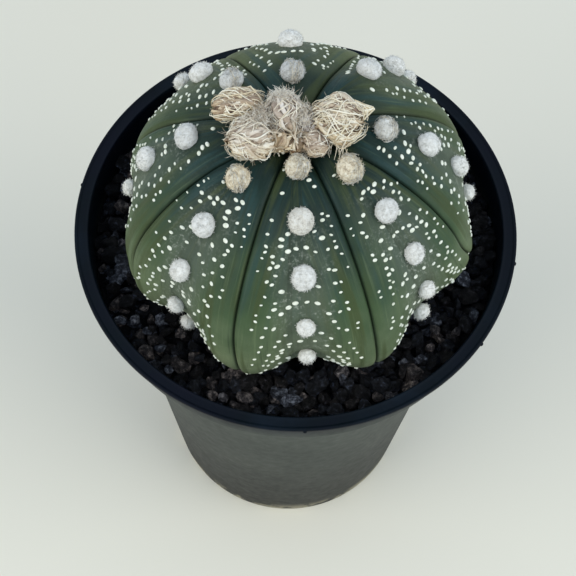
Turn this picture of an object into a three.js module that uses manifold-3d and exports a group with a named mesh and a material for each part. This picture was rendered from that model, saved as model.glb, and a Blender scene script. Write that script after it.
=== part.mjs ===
// Potted star cactus: an eight-ribbed globular cactus in a round nursery pot, dressed with black grit.
// Millimetres, +Z up. The origin is the centre of the pot's underside.
import * as THREE from "three";
import { mergeVertices } from "three/addons/utils/BufferGeometryUtils.js";
import Module from "manifold-3d";

const wasm = await Module();
wasm.setup();

// Driving dimensions
const POT_HEIGHT = 120;
const RIM_RADIUS = 50;
const BASE_RADIUS = 35;
const NECK_RADIUS = 41.4;
const COLLAR_RADIUS = 47.9;
const COLLAR_HEIGHT = 12.5;
const SHOULDER_HEIGHT = 3;
const POT_WALL = 1.2;
const RIM_DEPTH = 1.4;
const POT_SEGMENTS = 48;
const GRIT_DEPTH_BELOW_RIM = 7.6;
const GAP = 0.3;
const SLACK = 0.1;

// Heights that follow from them
const COLLAR_BOTTOM = POT_HEIGHT - COLLAR_HEIGHT;
const NECK_TOP = COLLAR_BOTTOM - SHOULDER_HEIGHT;
const MIX_TOP = NECK_TOP - SLACK;
const GRIT_BED_TOP = POT_HEIGHT - GRIT_DEPTH_BELOW_RIM;

// A seeded random number in 0..1, the same on every run.
function seededRandom(seed) {
  let state = seed;
  return () => {
    state = (Math.imul(state, 1664525) + 1013904223) >>> 0;
    return state / 4294967296;
  };
}

// A random value in a range given as [least, most].
function within([least, most], random) {
  return least + (most - least) * random();
}

// Solids and meshes
const SAME_POINT = 1e-4;
const SLIVER = 0.02;

// A copy of a geometry whose faces share their corners, with positions alone.
function welded(geometry) {
  const bare = geometry.clone();
  bare.deleteAttribute("normal");
  bare.deleteAttribute("uv");
  return mergeVertices(bare, SAME_POINT);
}

function solidFrom(geometry) {
  const shape = welded(geometry);
  return new wasm.Manifold(
    new wasm.Mesh({
      numProp: 3,
      vertProperties: new Float32Array(shape.attributes.position.array),
      triVerts: new Uint32Array(shape.index.array),
    }),
  );
}

function geometryFrom(solid) {
  const mesh = solid.getMesh();
  const positions = new Float32Array(mesh.numVert * 3);
  for (let i = 0; i < mesh.numVert; i++) {
    const start = i * mesh.numProp;
    positions.set(mesh.vertProperties.subarray(start, start + 3), i * 3);
  }
  const geometry = new THREE.BufferGeometry();
  geometry.setAttribute("position", new THREE.BufferAttribute(positions, 3));
  geometry.setIndex(new THREE.BufferAttribute(new Uint32Array(mesh.triVerts), 1));
  return geometry;
}

// Joins solids pair by pair, so that each join stays small.
function joined(solids) {
  let list = solids;
  while (list.length > 1) {
    const next = [];
    for (let i = 0; i < list.length; i += 2) {
      next.push(i + 1 < list.length ? list[i].add(list[i + 1]) : list[i]);
    }
    list = next;
  }
  return list[0];
}

// The biggest body of a solid, without slivers: scraps that a cut leaves loose are dropped.
function mainBody(solid) {
  const bodies = solid.simplify(SLIVER).decompose();
  return bodies.reduce((a, b) => (b.volume() > a.volume() ? b : a));
}

// A surface of revolution about +Z from a list of [radius, height] points, which runs up the outside
// first and comes back down the inside.
function turned(points, segments) {
  const profile = points.map(([r, z]) => new THREE.Vector2(r, z));
  const lathe = new THREE.LatheGeometry(profile, segments);
  lathe.rotateX(Math.PI / 2);
  return lathe;
}

function named(name, geometry, material) {
  const flat = geometry.index ? geometry.toNonIndexed() : geometry;
  flat.computeVertexNormals();
  const mesh = new THREE.Mesh(flat, material);
  mesh.name = name;
  return mesh;
}

// Materials
const potPlastic = new THREE.MeshStandardMaterial({ color: 0x40454a, roughness: 0.62, metalness: 0 });
const mixEarth = new THREE.MeshStandardMaterial({ color: 0x2a2019, roughness: 0.95, metalness: 0 });
const gritStone = new THREE.MeshStandardMaterial({ color: 0x17191d, roughness: 0.7, metalness: 0 });
const cactusSkin = new THREE.MeshStandardMaterial({ color: 0x38503c, roughness: 0.5, metalness: 0 });
const driedPetal = new THREE.MeshStandardMaterial({ color: 0xb59a7c, roughness: 0.9, metalness: 0 });

// Pot: rim, stepped collar, tapered wall, foot ring, and a recessed base with drainage holes
const FOOT_HEIGHT = 2;
const FOOT_WIDTH = 3;
const BASE_THICKNESS = 1.4;
const DRAIN_HOLES = 6;
const DRAIN_RADIUS = 3;
const DRAIN_CIRCLE = 21;
const DRILL_LENGTH = 8;
const DRILL_SIDES = 10;
const CORNER = 0.8;
const SMALL_CORNER = 0.4;

function innerRadiusAt(z) {
  const share = z / NECK_TOP;
  return BASE_RADIUS + (NECK_RADIUS - BASE_RADIUS) * share - POT_WALL;
}

function potSolid() {
  const collarInside = COLLAR_RADIUS - POT_WALL;
  const footInside = BASE_RADIUS - FOOT_WIDTH;
  const floor = FOOT_HEIGHT + BASE_THICKNESS;
  const shell = turned(
    [
      [0, FOOT_HEIGHT],
      [footInside - CORNER, FOOT_HEIGHT],
      [footInside - SMALL_CORNER, 0],
      [BASE_RADIUS - CORNER, 0],
      [BASE_RADIUS, CORNER],
      [NECK_RADIUS, NECK_TOP],
      [NECK_RADIUS + CORNER, NECK_TOP + CORNER],
      [COLLAR_RADIUS - CORNER, COLLAR_BOTTOM - SMALL_CORNER],
      [COLLAR_RADIUS, COLLAR_BOTTOM + CORNER],
      [COLLAR_RADIUS, POT_HEIGHT - RIM_DEPTH],
      [RIM_RADIUS, POT_HEIGHT - RIM_DEPTH],
      [RIM_RADIUS, POT_HEIGHT - SMALL_CORNER],
      [RIM_RADIUS - SMALL_CORNER, POT_HEIGHT],
      [collarInside + SMALL_CORNER, POT_HEIGHT],
      [collarInside, POT_HEIGHT - CORNER],
      [collarInside, COLLAR_BOTTOM + CORNER],
      [collarInside - CORNER, COLLAR_BOTTOM],
      [NECK_RADIUS - POT_WALL, NECK_TOP],
      [innerRadiusAt(floor), floor],
      [0, floor],
    ],
    POT_SEGMENTS,
  );
  const drills = [];
  for (let i = 0; i < DRAIN_HOLES; i++) {
    const turn = (i / DRAIN_HOLES) * Math.PI * 2;
    const drill = new THREE.CylinderGeometry(DRAIN_RADIUS, DRAIN_RADIUS, DRILL_LENGTH, DRILL_SIDES);
    drill.rotateX(Math.PI / 2);
    drill.translate(DRAIN_CIRCLE * Math.cos(turn), DRAIN_CIRCLE * Math.sin(turn), FOOT_HEIGHT);
    drills.push(solidFrom(drill));
  }
  return solidFrom(shell).subtract(joined(drills));
}

// Cactus body. A point of the skin is given by its azimuth, counted in degrees from -Y towards +X,
// and by its height angle about a centre inside the body, from 90 at the crown down to the base.
const BODY_CENTRE_HEIGHT = POT_HEIGHT + 4.7;
const BODY_OFFSET = [0.7, 0.25];
const BODY_LEAN = [-0.045, 0.006];
const HEIGHT_ANGLES = [-40, -24, -16, -8, 6, 20, 34, 48, 62, 76, 90];
const FURROW_REACH = [29, 34.6, 37.4, 39.3, 39.8, 39.8, 38.3, 36.4, 34.6, 31.3, 26.2];
const RIB_LINE_RISE = [-3, -5, -5.6, -5.7, -4.2, -2.7, -1.5, -0.4, 0.4, 1.1, 1.6];
const FURROW_DEPTH = 1;
const FURROW_WIDTH = 0.8;
const RIB_FULLNESS = 1.15;
const CROWN_FADE_RADIUS = 7;
const SET_BACK_TOP = 80;
const LOW_SIDE_TOP = 42;
const BASE_ZONE_TOP = 20;
const ZONE_BLEND = 30;
const NORMAL_STEP = 0.6;

// Each rib: the azimuths of the furrow before it and of its areole line, how far the lobe at that
// furrow stands back and how far the furrow turns aside near the base, and the height angles of the
// rib's first areole and of the steps between them.
const RIBS = [
  { furrow: -17.8, line: 5, setBack: 0, lowTurn: 0.8, first: 73.3, step: 17.25 },
  { furrow: 26.1, line: 49, setBack: 0, lowTurn: 1.2, first: 65.5, step: 16.85 },
  { furrow: 67.2, line: 92, setBack: 0.5, lowTurn: 10.5, first: 60, step: 16.4 },
  { furrow: 110, line: 139, setBack: 1.2, lowTurn: 0, first: 53, step: 16.9 },
  { furrow: 157, line: 185, setBack: 2.4, lowTurn: 0, first: 66.9, step: 22.4 },
  { furrow: 211, line: 229, setBack: 1.8, lowTurn: 0, first: 60, step: 18.3 },
  { furrow: 257, line: 272, setBack: 1.3, lowTurn: 0, first: 53, step: 19 },
  { furrow: 298.1, line: 318, setBack: 0, lowTurn: -0.5, first: 63, step: 17.8 },
];
const LAST_AREOLE_ANGLE = -10;

const radians = (degrees) => (degrees * Math.PI) / 180;
const smooth = (t) => {
  const u = Math.min(Math.max(t, 0), 1);
  return u * u * (3 - 2 * u);
};

// A smooth curve through the points (xs[i], ys[i]), read at x.
function curveAt(xs, ys, x) {
  const last = xs.length - 1;
  const slope = (i) => {
    const a = Math.max(i - 1, 0);
    const b = Math.min(i + 1, last);
    return (ys[b] - ys[a]) / (xs[b] - xs[a]);
  };
  let i = 0;
  while (i < last - 1 && x >= xs[i + 1]) i++;
  const width = xs[i + 1] - xs[i];
  const t = Math.min(Math.max((x - xs[i]) / width, 0), 1);
  const u = 1 - t;
  return (
    ys[i] * (1 + 2 * t) * u * u +
    slope(i) * width * t * u * u +
    ys[i + 1] * t * t * (3 - 2 * t) +
    slope(i + 1) * width * t * t * (t - 1)
  );
}

// Where an azimuth lies across its rib: 0 on the areole line, -1 and 1 in the furrows beside it.
function acrossRib(azimuth) {
  const start = RIBS[0].furrow;
  const turn = ((((azimuth - start) % 360) + 360) % 360) + start;
  let i = RIBS.length - 1;
  while (RIBS[i].furrow > turn) i--;
  const before = RIBS[i];
  const after = RIBS[(i + 1) % RIBS.length];
  const end = i + 1 < RIBS.length ? after.furrow : after.furrow + 360;
  const onFirstHalf = turn < before.line;
  const half = onFirstHalf ? before.line - before.furrow : end - before.line;
  return {
    phase: (turn - before.line) / half,
    halfAngle: radians((end - before.furrow) / 2),
    setBack: onFirstHalf ? before.setBack : after.setBack,
    lowTurn: onFirstHalf ? before.lowTurn : after.lowTurn,
  };
}

// How far a height angle is under the top of a zone: 0 at its top, and 1 some way below it.
const belowTop = (top, heightAngle) => smooth((top - heightAngle) / ZONE_BLEND);

// The point of the skin at an azimuth and height angle, lift millimetres outside it.
function skinPoint(azimuth, heightAngle, lift = 0, withFurrow = true) {
  const { phase, halfAngle, setBack, lowTurn } = acrossRib(azimuth);
  const reach = curveAt(HEIGHT_ANGLES, FURROW_REACH, heightAngle);
  const flatRadius = reach * Math.cos(radians(heightAngle));
  const fade = smooth(flatRadius / CROWN_FADE_RADIUS);
  const rib = Math.pow(0.5 + 0.5 * Math.cos(Math.PI * phase), RIB_FULLNESS);
  const rise = curveAt(HEIGHT_ANGLES, RIB_LINE_RISE, heightAngle) * rib;
  const fromFurrow = (1 - Math.abs(phase)) * halfAngle * flatRadius;
  const furrow = withFurrow ? FURROW_DEPTH * Math.exp(-fromFurrow / FURROW_WIDTH) : 0;
  const back = setBack * (1 - rib) * belowTop(SET_BACK_TOP, heightAngle);
  const rho = reach + fade * (rise - furrow) - back + lift;
  const r = rho * Math.cos(radians(heightAngle));
  const z = BODY_CENTRE_HEIGHT - POT_HEIGHT + rho * Math.sin(radians(heightAngle));
  const aside = lowTurn * Math.abs(phase) * belowTop(BASE_ZONE_TOP, heightAngle);
  const direction = radians(azimuth + aside);
  const x = r * Math.sin(direction);
  const y = -r * Math.cos(direction);
  return new THREE.Vector3(
    x + BODY_LEAN[0] * z + BODY_OFFSET[0],
    y + BODY_LEAN[1] * z + BODY_OFFSET[1],
    POT_HEIGHT + z - BODY_LEAN[0] * x - BODY_LEAN[1] * y,
  );
}

function skinNormal(azimuth, heightAngle) {
  const along = skinPoint(azimuth + NORMAL_STEP, heightAngle, 0, false);
  along.sub(skinPoint(azimuth - NORMAL_STEP, heightAngle, 0, false));
  const up = skinPoint(azimuth, heightAngle + NORMAL_STEP, 0, false);
  up.sub(skinPoint(azimuth, heightAngle - NORMAL_STEP, 0, false));
  return along.cross(up).normalize();
}

// Azimuths of the columns: each furrow, its two lips, and the slopes and line of the rib.
const PHASES_BEFORE_LINE = [-1, -0.92, -0.7, -0.35];
const PHASES_AFTER_LINE = [0, 0.35, 0.7, 0.92];

function columnAzimuths() {
  const columns = [];
  RIBS.forEach((rib, i) => {
    const end = i + 1 < RIBS.length ? RIBS[i + 1].furrow : RIBS[0].furrow + 360;
    PHASES_BEFORE_LINE.forEach((p) => columns.push(rib.line + p * (rib.line - rib.furrow)));
    PHASES_AFTER_LINE.forEach((p) => columns.push(rib.line + p * (end - rib.line)));
  });
  return columns;
}

const ROOT_CENTRE = [1.4, 0.2];
const ROOT_TOP = MIX_TOP + 0.8;
const ROOT_RINGS = [
  [9, ROOT_TOP],
  [7.4, MIX_TOP - 3],
  [5.6, MIX_TOP - 10],
  [3.2, MIX_TOP - 18],
];
const ROOT_END = MIX_TOP - 22;
const CROWN_ROW = 84;
const LOWEST_ROW = -40;
const ROW_STEP = 7;

// The closed skin with its root, grown outwards by lift.
function bodySurface(lift) {
  const columns = columnAzimuths();
  const points = [skinPoint(0, 90, lift)];
  const rows = Math.round((CROWN_ROW - LOWEST_ROW) / ROW_STEP);
  for (let j = 0; j <= rows; j++) {
    const heightAngle = CROWN_ROW + ((LOWEST_ROW - CROWN_ROW) * j) / rows;
    columns.forEach((azimuth) => points.push(skinPoint(azimuth, heightAngle, lift)));
  }
  ROOT_RINGS.forEach(([radius, z], j) => {
    const drop = j === 0 ? lift : 0;
    columns.forEach((azimuth) => {
      const x = ROOT_CENTRE[0] + (radius + lift) * Math.sin(radians(azimuth));
      const y = ROOT_CENTRE[1] - (radius + lift) * Math.cos(radians(azimuth));
      points.push(new THREE.Vector3(x, y, z - drop));
    });
  });
  points.push(new THREE.Vector3(ROOT_CENTRE[0], ROOT_CENTRE[1], ROOT_END - lift));

  const count = columns.length;
  const rings = (points.length - 2) / count;
  const index = [];
  for (let i = 0; i < count; i++) {
    const next = (i + 1) % count;
    index.push(0, 1 + i, 1 + next);
    for (let j = 0; j < rings - 1; j++) {
      const a = 1 + j * count;
      const b = a + count;
      index.push(a + i, b + i, b + next, a + i, b + next, a + next);
    }
    const lastRing = 1 + (rings - 1) * count;
    index.push(lastRing + i, points.length - 1, lastRing + next);
  }
  const geometry = new THREE.BufferGeometry().setFromPoints(points);
  geometry.setIndex(index);
  return geometry;
}

// Areoles: round pads of wool, sunk in the skin along each rib's line.
const WOOL_RADIUS = 2.55;
const WOOL_LIFT = 0.75;
const LOW_WOOL_LIFT = 0.8;
const LOW_WOOL_SHRINK = 0.3;
const WOOL_FLATNESS = 0.84;
const WOOL_SIDES = 7;
const WOOL_RINGS = 4;
const WOOL_SIZE_RANGE = [0.95, 1.05];
const WOOL_WIDTH_RANGE = [0.94, 1.06];

function woolPad(azimuth, heightAngle, radius, random) {
  const pad = new THREE.SphereGeometry(1, WOOL_SIDES, WOOL_RINGS);
  pad.rotateX(Math.PI / 2);
  const width = radius * within(WOOL_WIDTH_RANGE, random);
  pad.rotateZ(random() * Math.PI);
  pad.scale(width, radius, radius * WOOL_FLATNESS);
  const outward = skinNormal(azimuth, heightAngle);
  const turn = new THREE.Quaternion().setFromUnitVectors(new THREE.Vector3(0, 0, 1), outward);
  pad.applyQuaternion(turn);
  const lift = WOOL_LIFT + LOW_WOOL_LIFT * belowTop(BASE_ZONE_TOP, heightAngle);
  const centre = skinPoint(azimuth, heightAngle, 0, false).addScaledVector(outward, lift);
  pad.translate(centre.x, centre.y, centre.z);
  return solidFrom(pad);
}

function woolPads() {
  const random = seededRandom(11);
  const pads = [];
  RIBS.forEach((rib) => {
    for (let angle = rib.first; angle > LAST_AREOLE_ANGLE; angle -= rib.step) {
      const shrink = 1 - LOW_WOOL_SHRINK * belowTop(LOW_SIDE_TOP, angle);
      const radius = WOOL_RADIUS * shrink * within(WOOL_SIZE_RANGE, random);
      pads.push(woolPad(rib.line, angle, radius, random));
    }
  });
  return pads;
}

// Potting mix: the root ball under the grit, with a plain hole for the root
const ROOT_HOLE_CLEARANCE = 0.6;
const ROOT_HOLE_SEGMENTS = 24;

function mixSolid() {
  const bottom = FOOT_HEIGHT + BASE_THICKNESS + GAP;
  const ball = turned(
    [
      [0, bottom],
      [innerRadiusAt(bottom) - GAP - SMALL_CORNER, bottom],
      [innerRadiusAt(bottom) - GAP, bottom + SMALL_CORNER],
      [innerRadiusAt(MIX_TOP) - GAP, MIX_TOP],
      [0, MIX_TOP],
    ],
    POT_SEGMENTS,
  );
  const hole = turned(
    [
      [0, ROOT_END - ROOT_HOLE_CLEARANCE],
      ...ROOT_RINGS.slice()
        .reverse()
        .map(([r, z]) => [r + ROOT_HOLE_CLEARANCE, z - (z < MIX_TOP ? ROOT_HOLE_CLEARANCE : 0)]),
      [0, ROOT_TOP],
    ],
    ROOT_HOLE_SEGMENTS,
  );
  hole.translate(ROOT_CENTRE[0], ROOT_CENTRE[1], 0);
  return solidFrom(ball).subtract(solidFrom(hole));
}

// Grit: a bed of loose chips, with angular stones standing out of its top
const GRIT_RINGS = [36.2, 40.2, 44];
const GRIT_SPACING = 5.5;
const CHIP_RADIUS = 2.35;
const GRIT_INNER_RADIUS = 31;
const GRIT_OUTER_RADIUS = COLLAR_RADIUS - POT_WALL - SLACK - GAP;
const GRIT_FLOOR = MIX_TOP + GAP;
const CHIP_BLOCK = [1.45, 1.3, 1.15];
const CHIP_CORNER_RANGE = [0.62, 1.32];
const CHIP_SIZE_RANGE = [0.75, 1.25];
const CHIP_HEIGHT_RANGE = [0.2, 1.1];
const CHIP_SHIFT = 1.6;
const CHIP_INSET = 0.6;

// An angular stone: a block whose corners are moved at random.
function chip(radius, random) {
  const shape = welded(new THREE.BoxGeometry(...CHIP_BLOCK));
  const position = shape.attributes.position;
  for (let i = 0; i < position.count; i++) {
    const move = () => within(CHIP_CORNER_RANGE, random);
    position.setXYZ(i, position.getX(i) * move(), position.getY(i) * move(), position.getZ(i) * move());
  }
  shape.scale(radius, radius, radius);
  shape.rotateX(random() * Math.PI);
  shape.rotateZ(random() * Math.PI * 2);
  return shape;
}

// The inside of the collar above the potting mix, from an inner radius out and up to a top.
function collarFill(innerRadius, top) {
  const profile = [
    [innerRadius, GRIT_FLOOR],
    [innerRadiusAt(NECK_TOP) - GAP, GRIT_FLOOR],
    [GRIT_OUTER_RADIUS - 1.5 * CORNER, COLLAR_BOTTOM + SMALL_CORNER],
    [GRIT_OUTER_RADIUS, COLLAR_BOTTOM + 2 * CORNER],
    [GRIT_OUTER_RADIUS, top],
    [innerRadius, top],
  ];
  if (innerRadius > 0) profile.push(profile[0]);
  return solidFrom(turned(profile, POT_SEGMENTS));
}

function gritSolid(grownBody) {
  const random = seededRandom(5);
  const stones = [collarFill(GRIT_INNER_RADIUS, GRIT_BED_TOP)];
  GRIT_RINGS.forEach((ring, k) => {
    const count = Math.round((2 * Math.PI * ring) / GRIT_SPACING);
    for (let i = 0; i < count; i++) {
      const turn = ((i + 0.5 * (k % 2) + 0.5 * (random() - 0.5)) / count) * Math.PI * 2;
      const radius = CHIP_RADIUS * within(CHIP_SIZE_RANGE, random);
      const shifted = ring + CHIP_SHIFT * (random() - 0.5);
      const away = Math.min(shifted, GRIT_OUTER_RADIUS - CHIP_INSET * radius);
      const height = GRIT_BED_TOP + within(CHIP_HEIGHT_RANGE, random);
      const stone = chip(radius, random);
      stone.translate(away * Math.cos(turn), away * Math.sin(turn), height);
      stones.push(solidFrom(stone));
    }
  });
  const limit = collarFill(0, POT_HEIGHT);
  return mainBody(joined(stones).intersect(limit).subtract(grownBody));
}

// Dried flowers: knobs of withered, twisted petals on short tubes that meet on the crown
// Each knob: its centre over the rim's plane, its half sizes, and its turn and lean in radians.
const CROWN_MEETING = new THREE.Vector3(-0.6, -0.8, POT_HEIGHT + 36.6);
const KNOBS = [
  { at: [-12.4, 4, 38.4], size: [5.4, 3.7, 3.6], turn: 0.2, lean: 0.3 },
  { at: [-9.8, -4.4, 39], size: [4.9, 4.3, 4.2], turn: -0.2, lean: -0.4 },
  { at: [-3.1, 2.2, 39.1], size: [4.3, 5, 4.3], turn: 0.4, lean: 0.2 },
  { at: [7.4, 0.5, 40.3], size: [5.4, 5, 4.7], turn: -0.2, lean: 0.5 },
  { at: [3.4, -3.7, 38.1], size: [3.1, 2.8, 2.6], turn: 0.7, lean: 0 },
  { at: [-4.8, -3.7, 37.3], size: [3.2, 2.7, 2.4], turn: 0, lean: 0 },
  { at: [1.6, 0.7, 38], size: [2.8, 3, 2.7], turn: 0, lean: 0 },
  { at: [-1.2, -4, 36.9], size: [1.8, 1.9, 1.6], turn: 0, lean: 0 },
];
const POINTED_KNOB = KNOBS[3];
const KNOB_SIDES = 15;
const KNOB_RINGS = 7;
const KNOB_RIDGES = 5;
const RIDGE_HEIGHT = 0.085;
const RIDGE_WIND = 1.1;
const KNOB_ROUGHNESS = 0.05;

// A knob: an egg whose surface is folded into ridges that wind round its axis.
function knobSolid({ at, size, turn, lean }, random) {
  const shape = welded(new THREE.SphereGeometry(1, KNOB_SIDES, KNOB_RINGS));
  const position = shape.attributes.position;
  const start = random() * Math.PI * 2;
  for (let i = 0; i < position.count; i++) {
    const p = new THREE.Vector3().fromBufferAttribute(position, i);
    const round = Math.atan2(p.z, p.x);
    const level = Math.sqrt(Math.max(1 - p.y * p.y, 0));
    const fold = Math.cos(KNOB_RIDGES * (round + RIDGE_WIND * p.y) + start);
    p.multiplyScalar(1 + level * (RIDGE_HEIGHT * fold + KNOB_ROUGHNESS * (random() - 0.5)));
    position.setXYZ(i, p.x, p.y, p.z);
  }
  shape.rotateX(lean);
  shape.scale(size[0], size[1], size[2]);
  shape.rotateZ(turn);
  shape.translate(at[0], at[1], POT_HEIGHT + at[2]);
  return solidFrom(shape);
}

// A tapering tube between two points, with a bend to one side.
function strand(from, to, bend, startRadius, endRadius, sides, steps) {
  const middle = from.clone().add(to).multiplyScalar(0.5).add(bend);
  const path = new THREE.QuadraticBezierCurve3(from, middle, to);
  const frames = path.computeFrenetFrames(steps, false);
  const points = [from.clone()];
  for (let j = 0; j <= steps; j++) {
    const centre = path.getPoint(j / steps);
    const radius = startRadius + ((endRadius - startRadius) * j) / steps;
    for (let i = 0; i < sides; i++) {
      const angle = (i / sides) * Math.PI * 2;
      const edge = centre.clone();
      edge.addScaledVector(frames.normals[j], radius * Math.cos(angle));
      edge.addScaledVector(frames.binormals[j], radius * Math.sin(angle));
      points.push(edge);
    }
  }
  points.push(to.clone());
  const end = points.length - 1;
  const index = [];
  for (let i = 0; i < sides; i++) {
    const next = (i + 1) % sides;
    index.push(0, 1 + next, 1 + i);
    for (let j = 0; j < steps; j++) {
      const a = 1 + j * sides;
      const b = a + sides;
      index.push(a + i, a + next, b + next, a + i, b + next, b + i);
    }
    index.push(end, end - sides + i, end - sides + next);
  }
  const geometry = new THREE.BufferGeometry().setFromPoints(points);
  geometry.setIndex(index);
  return solidFrom(geometry);
}

const TUBE_RADIUS = 1.9;
const TUBE_END_RADIUS = 1.5;
const TUBE_SIDES = 7;
const TUBE_BEND = new THREE.Vector3(0, 0, 0.8);
const LOOSE_PETALS_PER_KNOB = 3;
const LEAST_KNOB_WITH_PETALS = 3.1;
const PETAL_RADIUS = 0.42;
const PETAL_END_RADIUS = 0.3;
const PETAL_SIDES = 3;
const PETAL_ROOT = { far: 0.8, rise: 0.4 };
const PETAL_TIP = { far: 0.86, rise: 0.7 };
const PETAL_BOW = { far: 0.79, rise: 0.6 };
const PETAL_TURN = 1.5;
const PETAL_RISE_RANGE = [0.5, 1.1];
const TIP_START = [3, 1.6, 0];
const TIP_POINT = [6.6, 3.3, -0.6];
const TIP_RADIUS = 1.4;
const TIP_END_RADIUS = 0.4;
const TIP_SIDES = 6;
const STRAND_STEPS = 3;

// A loose petal: a strand bowed over the side of a knob.
function loosePetal({ at, size }, random) {
  const side = random() * Math.PI * 2;
  const lift = within(PETAL_RISE_RANGE, random);
  const onKnob = (angle, { far, rise }) => {
    const level = lift * rise;
    const out = far * Math.sqrt(1 - level * level);
    return new THREE.Vector3(
      at[0] + size[0] * out * Math.cos(angle),
      at[1] + size[1] * out * Math.sin(angle),
      POT_HEIGHT + at[2] + size[2] * far * level,
    );
  };
  const from = onKnob(side, PETAL_ROOT);
  const to = onKnob(side + PETAL_TURN + random(), PETAL_TIP);
  const centre = new THREE.Vector3(at[0], at[1], POT_HEIGHT + at[2]);
  const bend = onKnob(side + 1, PETAL_BOW).sub(centre);
  return strand(from, to, bend, PETAL_RADIUS, PETAL_END_RADIUS, PETAL_SIDES, STRAND_STEPS);
}

// The pointed end of the largest knob.
function pointedTip() {
  const [x, y, z] = POINTED_KNOB.at;
  const centre = new THREE.Vector3(x, y, POT_HEIGHT + z);
  const from = new THREE.Vector3(...TIP_START).add(centre);
  const to = new THREE.Vector3(...TIP_POINT).add(centre);
  return strand(from, to, new THREE.Vector3(), TIP_RADIUS, TIP_END_RADIUS, TIP_SIDES, STRAND_STEPS);
}

function driedFlowerSolid(grownBody) {
  const random = seededRandom(23);
  const pieces = [pointedTip()];
  KNOBS.forEach((knob) => {
    const centre = new THREE.Vector3(knob.at[0], knob.at[1], POT_HEIGHT + knob.at[2]);
    pieces.push(knobSolid(knob, random));
    pieces.push(
      strand(CROWN_MEETING, centre, TUBE_BEND, TUBE_RADIUS, TUBE_END_RADIUS, TUBE_SIDES, STRAND_STEPS),
    );
    if (knob.size[0] < LEAST_KNOB_WITH_PETALS) return;
    for (let i = 0; i < LOOSE_PETALS_PER_KNOB; i++) {
      pieces.push(loosePetal(knob, random));
    }
  });
  return mainBody(joined(pieces).subtract(grownBody));
}

// Space kept round the body and its pads by what lies against them
const BODY_CLEARANCE = 0.35;
const PAD_GROWTH = 1.24;

// A wool pad made larger about its own middle.
function grownPad(pad) {
  const box = pad.boundingBox();
  const middle = box.min.map((low, k) => (low + box.max[k]) / 2);
  return pad
    .translate(middle.map((v) => -v))
    .scale([PAD_GROWTH, PAD_GROWTH, PAD_GROWTH])
    .translate(middle);
}

// Assembly
const pads = woolPads();
const cactus = joined([solidFrom(bodySurface(0)), ...pads]);
const grownCactus = joined([solidFrom(bodySurface(BODY_CLEARANCE)), ...pads.map(grownPad)]);

const group = new THREE.Group();
group.add(named("pot", geometryFrom(potSolid()), potPlastic));
group.add(named("potting_mix", geometryFrom(mixSolid()), mixEarth));
group.add(named("grit", geometryFrom(gritSolid(grownCactus)), gritStone));
group.add(named("cactus", geometryFrom(mainBody(cactus)), cactusSkin));
group.add(named("dried_flowers", geometryFrom(driedFlowerSolid(grownCactus)), driedPetal));

export default group;
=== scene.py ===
# Potted star cactus: the finished look of each part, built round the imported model.
import itertools
from math import cos, degrees, inf, pi, radians, sin, sqrt

import bpy
import numpy as np
from mathutils import Matrix, Vector


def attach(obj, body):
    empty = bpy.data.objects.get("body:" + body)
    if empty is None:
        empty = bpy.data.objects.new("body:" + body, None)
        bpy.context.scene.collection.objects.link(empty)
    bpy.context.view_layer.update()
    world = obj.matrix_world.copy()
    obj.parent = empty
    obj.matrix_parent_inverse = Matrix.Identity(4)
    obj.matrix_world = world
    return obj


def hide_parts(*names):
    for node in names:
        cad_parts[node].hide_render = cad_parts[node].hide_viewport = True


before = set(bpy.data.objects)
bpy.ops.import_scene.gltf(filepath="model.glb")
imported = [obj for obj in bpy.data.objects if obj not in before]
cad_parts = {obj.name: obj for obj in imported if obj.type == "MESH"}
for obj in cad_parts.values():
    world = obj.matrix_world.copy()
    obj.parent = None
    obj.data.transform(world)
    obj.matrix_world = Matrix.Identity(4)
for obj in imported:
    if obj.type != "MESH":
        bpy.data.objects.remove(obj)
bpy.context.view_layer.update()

MM = 0.001

# Sizes shared with the model, in millimetres
POT_HEIGHT = 120.0
RIM_RADIUS = 50.0
BASE_RADIUS = 35.0
NECK_RADIUS = 41.4
COLLAR_RADIUS = 47.9
COLLAR_HEIGHT = 12.5
SHOULDER_HEIGHT = 3.0
POT_WALL = 1.2
RIM_DEPTH = 1.4
FOOT_HEIGHT = 2.0
FOOT_WIDTH = 3.0
BASE_THICKNESS = 1.4
DRAIN_HOLES = 6
DRAIN_RADIUS = 3.0
DRAIN_CIRCLE = 21.0
GRIT_DEPTH_BELOW_RIM = 7.6
COLLAR_BOTTOM = POT_HEIGHT - COLLAR_HEIGHT
NECK_TOP = COLLAR_BOTTOM - SHOULDER_HEIGHT
GRIT_BED_TOP = POT_HEIGHT - GRIT_DEPTH_BELOW_RIM


# Small numeric helpers
def smooth(t):
    """0 up to t = 0 and 1 from t = 1, with a soft step between them."""
    u = np.clip(t, 0.0, 1.0)
    return u * u * (3.0 - 2.0 * u)


def curve_at(xs, ys, x):
    """A smooth curve through the points (xs[i], ys[i]), read at x."""
    xs = np.asarray(xs, float)
    ys = np.asarray(ys, float)
    x = np.asarray(x, float)
    after = np.minimum(np.arange(len(xs)) + 1, len(xs) - 1)
    before = np.maximum(np.arange(len(xs)) - 1, 0)
    slope = (ys[after] - ys[before]) / (xs[after] - xs[before])
    i = np.clip(np.searchsorted(xs, x, side="right") - 1, 0, len(xs) - 2)
    width = xs[i + 1] - xs[i]
    t = np.clip((x - xs[i]) / width, 0.0, 1.0)
    bulge = width * t * (1 - t) * (slope[i] * (1 - t) - slope[i + 1] * t)
    return ys[i] + (ys[i + 1] - ys[i]) * smooth(t) + bulge


def arc_at(start, middle, end, t):
    """The curve from start to end that is drawn towards middle, read at t from 0 to 1."""
    return (1 - t) ** 2 * start + 2 * t * (1 - t) * middle + t * t * end


# Large whole numbers that scramble a cell's place and a seed
CELL_FACTORS = (73856093, 19349663, 83492791)
SEED_FACTOR = 2654435761
SCRAMBLE_FACTOR = 1274126177


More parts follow.
